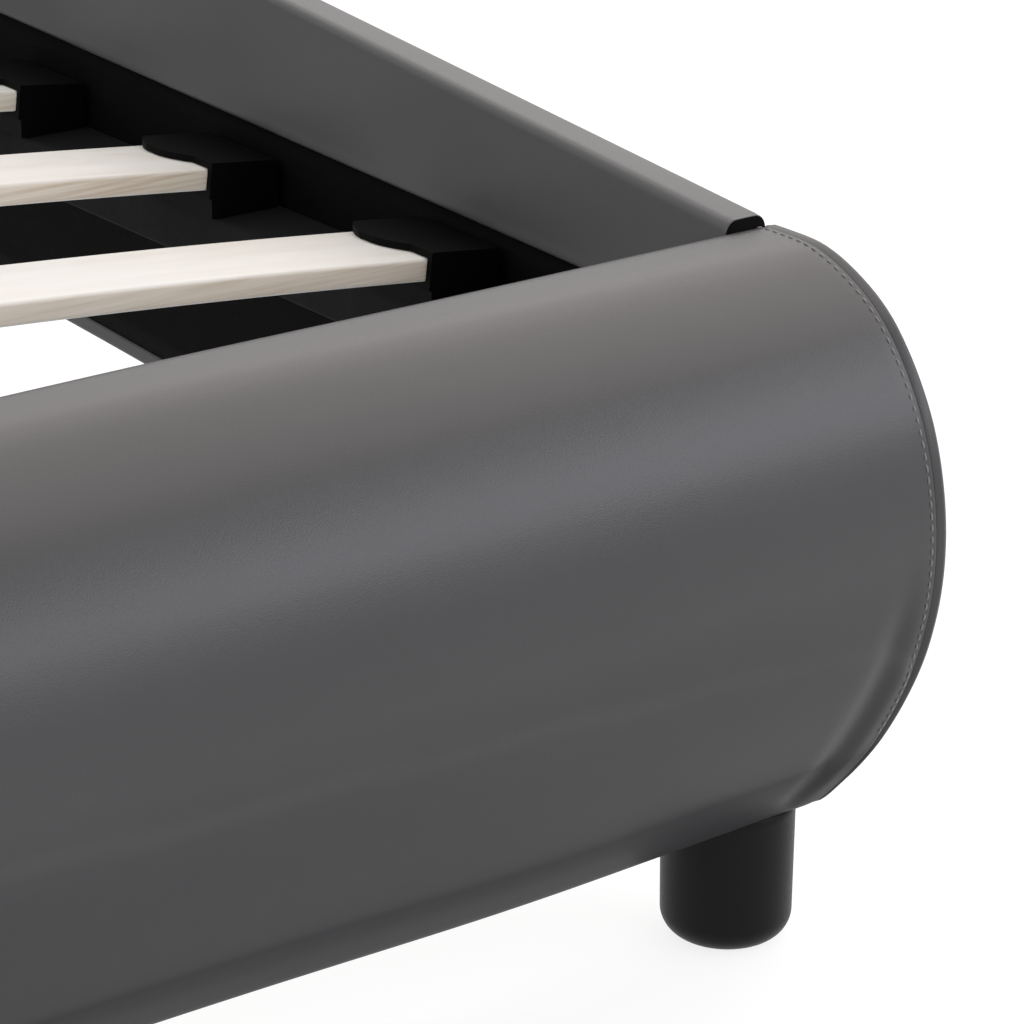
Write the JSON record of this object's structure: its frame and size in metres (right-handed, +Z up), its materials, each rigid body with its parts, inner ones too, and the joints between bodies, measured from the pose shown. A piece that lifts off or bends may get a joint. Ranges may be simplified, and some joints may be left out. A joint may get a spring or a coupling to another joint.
{
  "type": "sleigh bed",
  "caption": "Low sleigh bed with a padded D-section footboard roll, scrolled headboard, swept side rails, sprung slats and short round legs.",
  "frame": {"origin": "on the floor, in the middle of the bed's footprint", "axes": "+X to the right seen from the foot, +Y to the head, +Z up"},
  "size_m": [1.6, 2.4222, 0.8727],
  "materials": {
    "faux_leather": "smooth dark grey faux leather with a fine grain and a soft satin sheen",
    "foam": "soft open-cell upholstery foam",
    "black_lining": "black non-woven lining cloth",
    "black_wrapped_batten": "softwood batten wrapped in black non-woven cloth",
    "birch_slat": "pale birch plywood, lightly sealed",
    "black_plastic": "black moulded polypropylene",
    "black_leg": "black moulded plastic, satin",
    "black_steel": "black powder coat",
    "foot_plastic": "black nylon",
    "zinc_steel": "zinc-plated",
    "plywood": "raw plywood",
    "pine": "raw pine"
  },
  "bodies": {
    "bed_frame": {"centre_beam": "pine", "centre_beam_hangers": "black_steel", "centre_leg_1": "black_steel", "centre_leg_2": "black_steel", "corner_bolts": "zinc_steel", "corner_brackets": "black_steel", "corner_inserts": "zinc_steel", "footboard_back_panel": "plywood", "footboard_bent_ply": "plywood", "footboard_cover": "faux_leather", "footboard_end_left": "faux_leather", "footboard_end_right": "faux_leather", "footboard_foam": "foam", "footboard_former_1": "plywood", "footboard_former_2": "plywood", "footboard_former_3": "plywood", "footboard_former_4": "plywood", "footboard_toe_batten": "pine", "footboard_top_batten": "pine", "headboard_bent_ply": "plywood", "headboard_cover": "faux_leather", "headboard_end_left": "faux_leather", "headboard_end_right": "faux_leather", "headboard_foam": "foam", "headboard_sill": "pine", "headboard_upright_left": "plywood", "headboard_upright_middle": "plywood", "headboard_upright_right": "plywood", "ledge_screws": "zinc_steel", "leg_bolts": "zinc_steel", "leg_foot_left": "black_leg", "leg_foot_right": "black_leg", "leg_head_left": "black_leg", "leg_head_right": "black_leg", "rail_board_left": "plywood", "rail_board_right": "plywood", "rail_cover_left": "faux_leather", "rail_cover_right": "faux_leather", "rail_foam_left": "foam", "rail_foam_right": "foam", "rail_lining_left": "black_lining", "rail_lining_right": "black_lining", "slat_01": "birch_slat", "slat_02": "birch_slat", "slat_03": "birch_slat", "slat_04": "birch_slat", "slat_05": "birch_slat", "slat_06": "birch_slat", "slat_07": "birch_slat", "slat_08": "birch_slat", "slat_09": "birch_slat", "slat_10": "birch_slat", "slat_holders_left": "black_plastic", "slat_holders_right": "black_plastic", "slat_ledge_left": "black_wrapped_batten", "slat_ledge_right": "black_wrapped_batten"},
    "levelling_body_foot_1": {"levelling_foot_1": "foot_plastic"},
    "levelling_body_foot_2": {"levelling_foot_2": "foot_plastic"}
  },
  "joints": [
    {"name": "levelling_screw_1", "type": "slide", "parent": "bed_frame", "child": "levelling_body_foot_1", "axis": [0, 0, -1], "range_m": [0, 0.015]},
    {"name": "levelling_screw_2", "type": "slide", "parent": "bed_frame", "child": "levelling_body_foot_2", "axis": [0, 0, -1], "range_m": [0, 0.015]}
  ]
}
